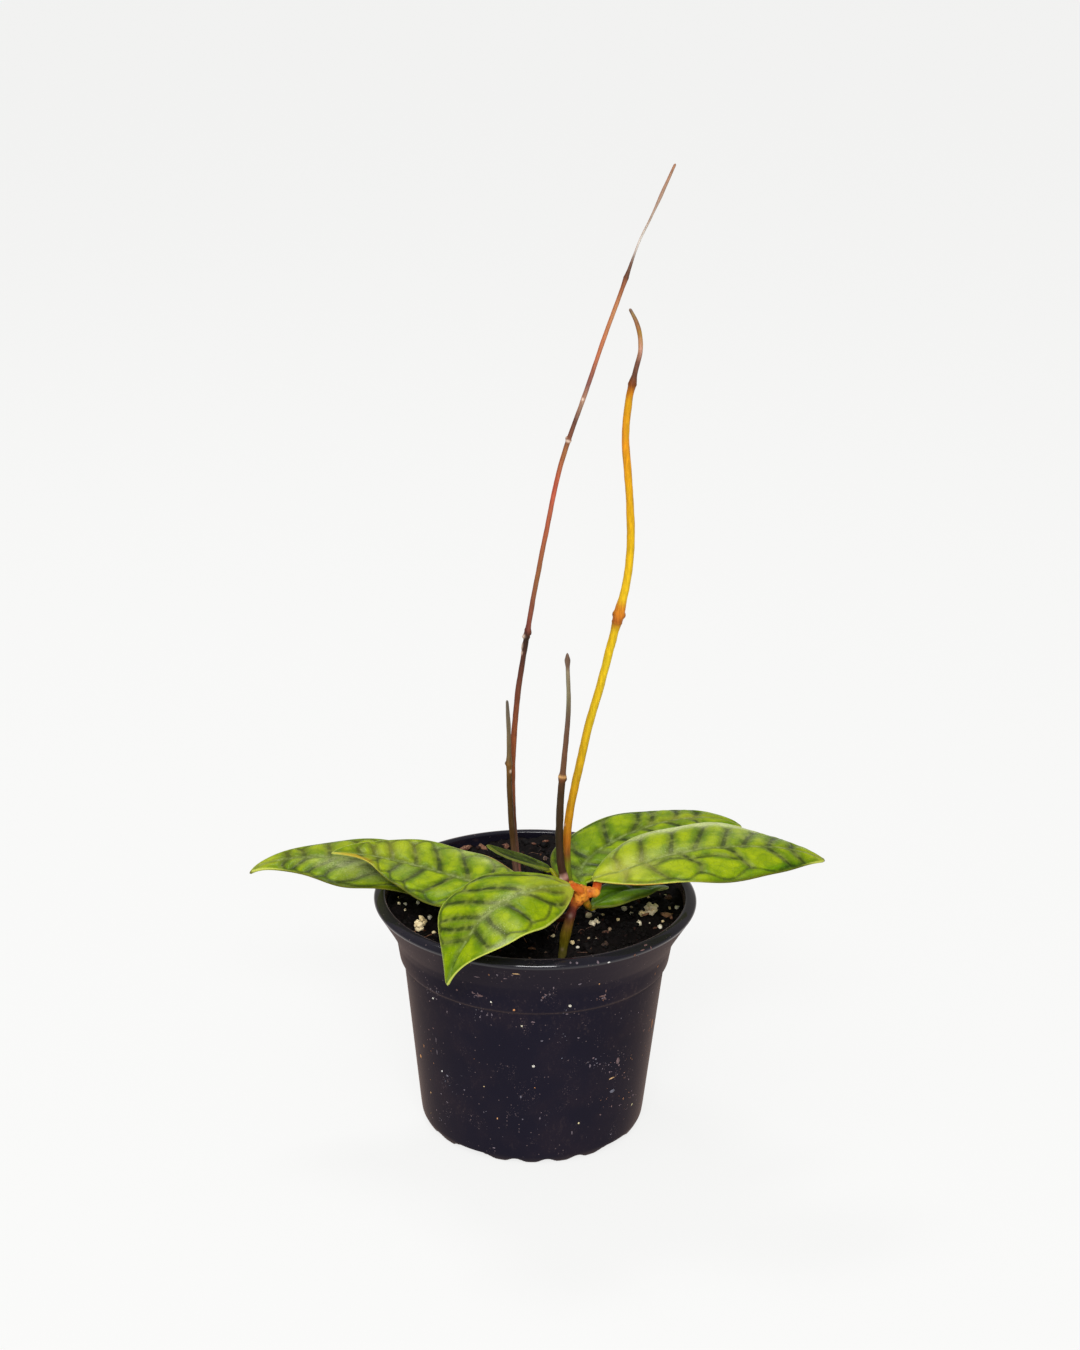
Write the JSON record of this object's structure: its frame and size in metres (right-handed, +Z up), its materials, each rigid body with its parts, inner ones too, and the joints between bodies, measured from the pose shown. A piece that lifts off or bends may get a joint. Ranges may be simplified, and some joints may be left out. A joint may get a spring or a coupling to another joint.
{
  "type": "potted hoya callistophylla",
  "caption": "Young climbing plant with broad veined leaves and slender bare vines, standing in the soil of a black plastic nursery pot.",
  "frame": {"origin": "centre of the pot's flat base, on the surface that the pot stands on", "axes": "+Z up, along the pot's axis and the plant's height; -Y towards the side that the picture shows, with +X to its right"},
  "size_m": [0.1847, 0.1192, 0.3132],
  "materials": {
    "pot_plastic": "satin",
    "soil": "rough and crumbly",
    "rooted_bark": "smooth living bark",
    "red_bark": "smooth living bark",
    "dark_bark": "smooth living bark",
    "yellow_bark": "smooth living bark",
    "leaf": "semi-gloss living leaf"
  },
  "bodies": {
    "root": {"nursery_pot": "pot_plastic", "potting_soil": "soil", "rooted_stem": "rooted_bark", "tall_vine": "red_bark", "left_stub": "dark_bark", "middle_stub": "dark_bark", "yellow_vine": "yellow_bark", "leaf_left_lower": "leaf", "leaf_left_upper": "leaf", "leaf_front": "leaf", "leaf_right_back": "leaf", "leaf_right_front": "leaf", "leaf_right_lower": "leaf", "leaf_back_young": "leaf"}
  },
  "joints": []
}
